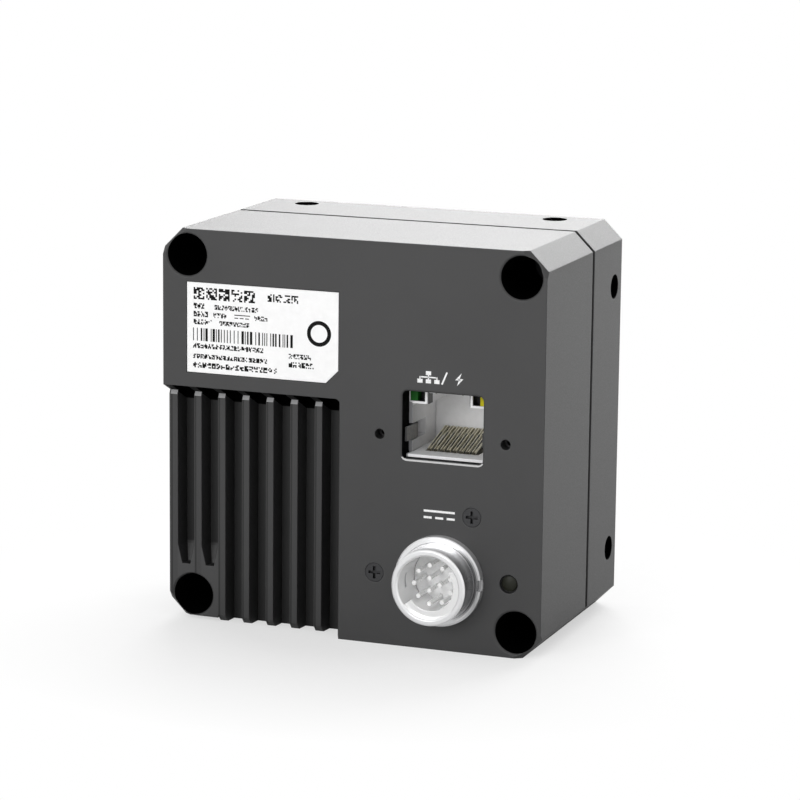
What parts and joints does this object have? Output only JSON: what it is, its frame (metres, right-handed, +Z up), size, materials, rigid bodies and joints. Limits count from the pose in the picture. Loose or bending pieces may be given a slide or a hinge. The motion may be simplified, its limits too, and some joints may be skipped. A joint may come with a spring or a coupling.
{
  "type": "machine vision camera",
  "caption": "Compact square metal camera body with a threaded lens mount in front, and cooling ribs, a label, a network socket and a round power connector behind.",
  "frame": {"origin": "centre of the lens mount's opening in the front face", "axes": "+Y out of the lens mount, towards the lens; +X to the right as seen from behind; +Z up"},
  "size_m": [0.062, 0.0431, 0.062],
  "materials": {
    "housing_paint": "fine matt dark grey coating on cast and milled aluminium",
    "rear_paint": "fine matt dark grey coating on milled aluminium",
    "steel_screw": "blackened steel",
    "seal_rubber": "black silicone rubber",
    "clear_glass": "coated clear glass",
    "black_anodised": "black anodised aluminium",
    "ceramic": "dark ceramic",
    "silicon": "polished silicon",
    "circuit_board": "green solder mask",
    "chip_black": "black moulding compound",
    "thermal_pad": "soft blue-grey gap filler",
    "link_plastic": "natural nylon",
    "brass_post": "nickel-plated brass",
    "coil_body": "pressed iron powder",
    "light_pipe": "smoky clear plastic",
    "led_body": "pale plastic",
    "label": "white printed film",
    "socket_steel": "nickel-plated sheet steel",
    "socket_plastic": "pale grey plastic",
    "contact_gold": "gold-plated bronze",
    "green_lens": "green clear plastic",
    "yellow_lens": "yellow clear plastic",
    "connector_metal": "satin nickel-plated brass",
    "insert_plastic": "grey moulded insulator",
    "pin_metal": "plated bronze"
  },
  "bodies": {
    "root": {"front_housing": "housing_paint", "rear_housing": "rear_paint", "housing_gasket": "seal_rubber", "clamp_screws": "steel_screw", "cover_screws": "steel_screw", "filter_glass": "clear_glass", "filter_retaining_ring": "black_anodised", "sensor_package": "ceramic", "sensor_die": "silicon", "sensor_cover_glass": "clear_glass", "sensor_board": "circuit_board", "sensor_board_screws": "steel_screw", "main_board": "circuit_board", "processor_chip": "chip_black", "memory_chips": "chip_black", "thermal_pad": "thermal_pad", "board_link_front": "link_plastic", "board_link_rear": "link_plastic", "interface_board": "circuit_board", "board_standoffs": "brass_post", "board_spacers": "brass_post", "stack_screws": "steel_screw", "ethernet_transformer": "chip_black", "power_inductor": "coil_body", "status_led_chip": "led_body", "status_light_pipe": "light_pipe", "nameplate_label": "label", "rj45_shield": "socket_steel", "rj45_insert": "socket_plastic", "rj45_contacts": "contact_gold", "rj45_led_green": "green_lens", "rj45_led_yellow": "yellow_lens", "power_connector_shell": "connector_metal", "power_connector_ring_nut": "connector_metal", "power_connector_gasket": "seal_rubber", "power_connector_insert": "insert_plastic", "power_connector_pins": "pin_metal"}
  },
  "joints": []
}
